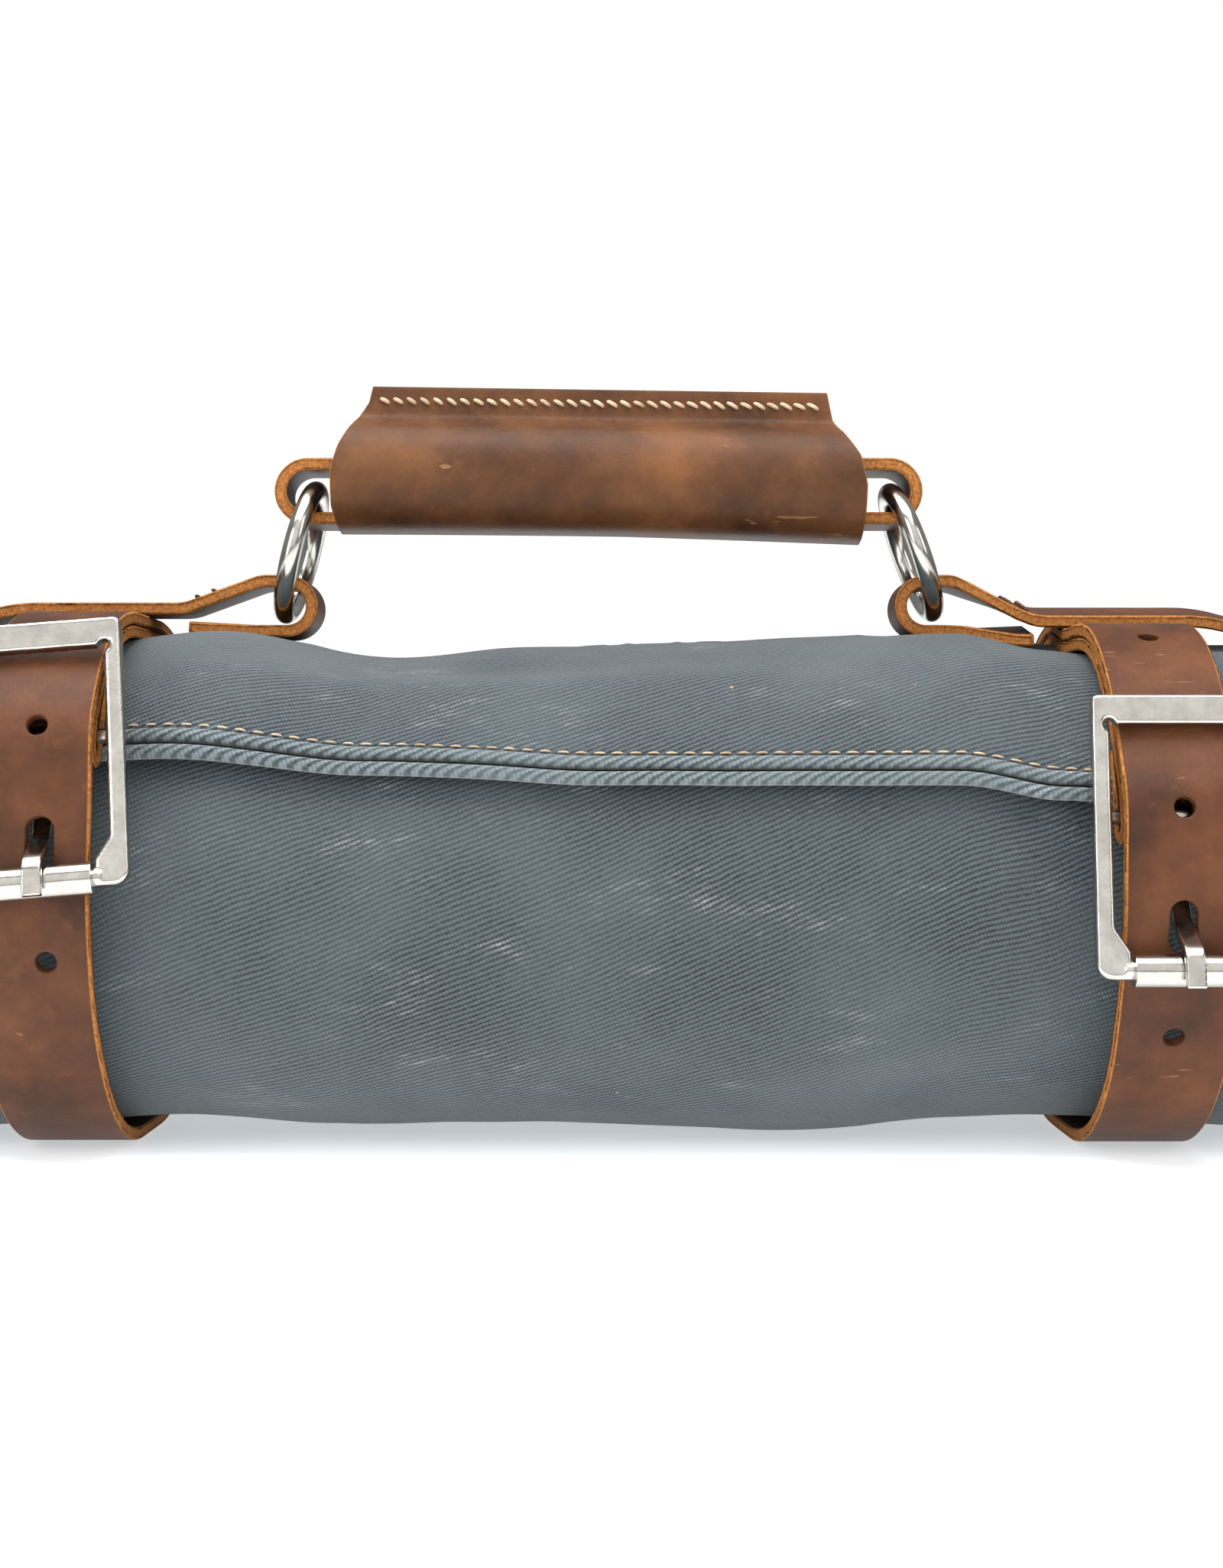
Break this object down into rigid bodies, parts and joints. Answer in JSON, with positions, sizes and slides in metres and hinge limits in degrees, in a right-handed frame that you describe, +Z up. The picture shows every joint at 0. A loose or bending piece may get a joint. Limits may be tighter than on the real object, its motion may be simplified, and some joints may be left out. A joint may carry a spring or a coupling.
{
  "type": "carving tool roll",
  "caption": "Rolled canvas carving tool roll with buckled leather belts, sewn-on tabs, round rings and a padded leather carrying handle.",
  "frame": {"origin": "on the floor under the middle of the roll, where the belts' flat feet rest", "axes": "+X along the roll, -Y towards the buckles at the front, +Z up through the handle"},
  "size_m": [0.4, 0.1595, 0.1839],
  "materials": {
    "waxed_canvas": "waxed twill, matt",
    "cotton_lining": "plain cotton, matt",
    "cream_thread": "waxed thread",
    "brown_thread": "waxed thread",
    "belt_leather": "oiled, satin, raw edges",
    "grip_leather": "pull-up, satin",
    "felt_filler": "dense felt",
    "nickel": "nickel plate, lightly tumbled",
    "rivet_metal": "old brass"
  },
  "bodies": {
    "roll": {"outer_panel": "waxed_canvas", "lining_panel": "cotton_lining", "pocket_panel": "cotton_lining", "tool_flap": "waxed_canvas", "hem_stitching": "cream_thread", "left_tab_stitching": "brown_thread", "right_tab_stitching": "brown_thread", "left_belt": "belt_leather", "right_belt": "belt_leather", "left_tab": "belt_leather", "right_tab": "belt_leather", "left_buckle_frame": "nickel", "right_buckle_frame": "nickel", "left_chape_rivets": "rivet_metal", "right_chape_rivets": "rivet_metal", "left_tab_rivets": "rivet_metal", "right_tab_rivets": "rivet_metal"},
    "handle": {"handle_strap": "belt_leather", "grip_sleeve": "grip_leather", "grip_core": "felt_filler", "grip_stitching": "cream_thread"},
    "left_ring": {"left_ring": "nickel"},
    "right_ring": {"right_ring": "nickel"},
    "left_tongue": {"left_tongue": "nickel"},
    "right_tongue": {"right_tongue": "nickel"},
    "left_roller": {"left_roller": "nickel"},
    "right_roller": {"right_roller": "nickel"}
  },
  "joints": [
    {"name": "handle_swing", "type": "hinge", "parent": "roll", "child": "handle", "pos_m": [0, 0, 0.1421], "axis": [1, 0, 0], "range_deg": [-45, 45]},
    {"name": "left_ring_turn", "type": "hinge", "parent": "handle", "child": "left_ring", "pos_m": [-0.0765, 0, 0.1421], "axis": [0.9681, 0, -0.2504], "continuous": true},
    {"name": "right_ring_turn", "type": "hinge", "parent": "handle", "child": "right_ring", "pos_m": [0.0738, 0, 0.1421], "axis": [0.9397, 0, 0.342], "continuous": true},
    {"name": "left_tongue_lift", "type": "hinge", "parent": "roll", "child": "left_tongue", "pos_m": [-0.125, -0.06429, 0.09444], "axis": [-0.9965, -0.0286, -0.0786], "range_deg": [0, 3]},
    {"name": "left_roller_spin", "type": "hinge", "parent": "roll", "child": "left_roller", "pos_m": [-0.12215, -0.07973, 0.064], "axis": [0.9965, 0.0286, 0.0786], "continuous": true},
    {"name": "right_tongue_lift", "type": "hinge", "parent": "roll", "child": "right_tongue", "pos_m": [0.1225, -0.07019, 0.0777], "axis": [-1, 0, 0], "range_deg": [0, 3]},
    {"name": "right_roller_spin", "type": "hinge", "parent": "roll", "child": "right_roller", "pos_m": [0.1225, -0.08161, 0.04541], "axis": [1, 0, 0], "continuous": true}
  ]
}
